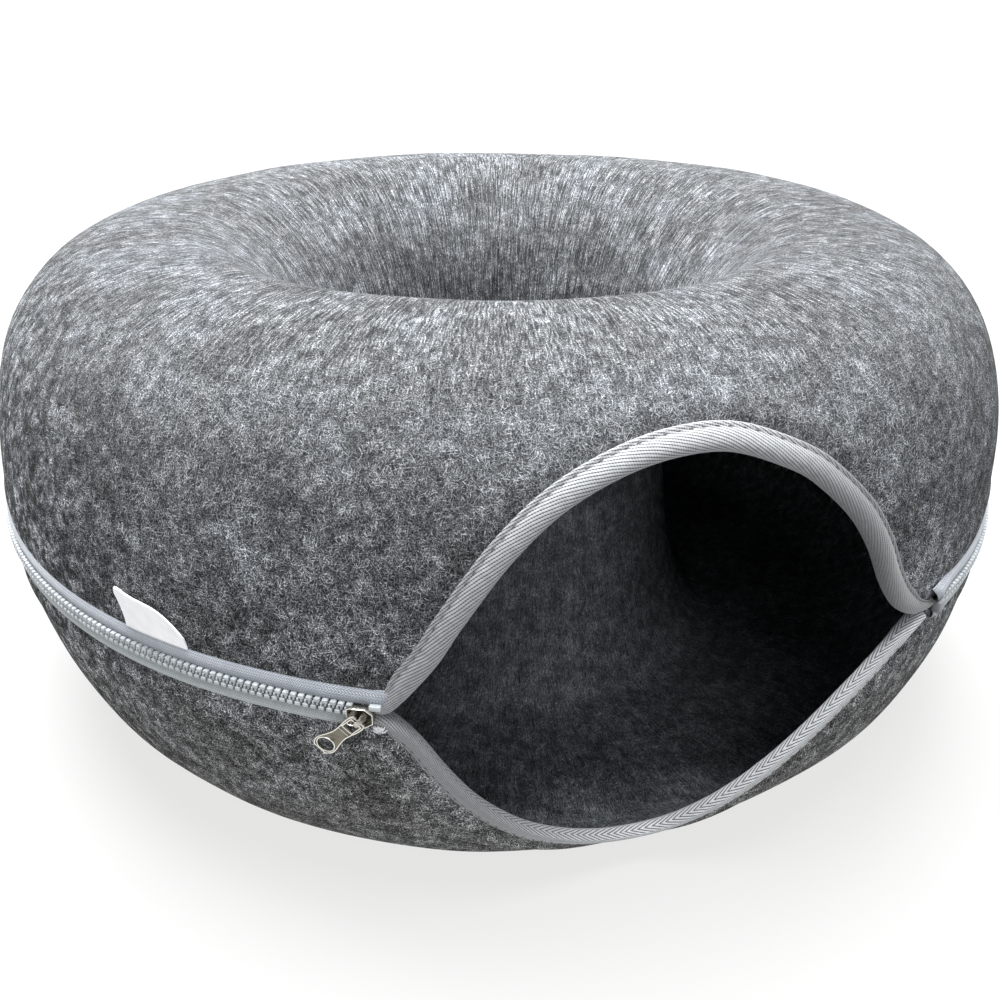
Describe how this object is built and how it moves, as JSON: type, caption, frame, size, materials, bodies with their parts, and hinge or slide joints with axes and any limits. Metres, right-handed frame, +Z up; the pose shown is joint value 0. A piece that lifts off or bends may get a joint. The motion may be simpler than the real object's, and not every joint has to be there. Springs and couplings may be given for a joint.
{
  "type": "cat tunnel bed",
  "caption": "Ring-shaped felt tunnel bed for a cat, open through the middle, with a cloth-bound lens-shaped mouth at the front and a zip round its outer wall that joins the halves.",
  "frame": {"origin": "middle of the footprint's box on the floor; the ring's axis stands 6.9 mm in front of it", "axes": "+Z up, -Y out of the mouth, +X to the right of someone who faces the mouth"},
  "size_m": [0.5131, 0.4996, 0.23],
  "materials": {
    "felt": "thick pressed felt, marled grey with light fibres over a dark ground",
    "binding": "light grey twill binding with a soft sheen",
    "zip_tape": "fine woven blue-grey tape",
    "zip_teeth": "moulded grey plastic",
    "zip_metal": "bright nickel plate",
    "tab": "plain white woven tab"
  },
  "bodies": {
    "root": {"upper_shell": "felt", "lower_shell": "felt", "upper_binding": "binding", "lower_binding": "binding", "zip_tape_upper": "zip_tape", "zip_tape_lower": "zip_tape", "zip_chain": "zip_teeth", "zip_box": "zip_teeth", "zip_slider": "zip_metal", "zip_pull": "zip_metal", "side_tab": "tab"}
  },
  "joints": []
}
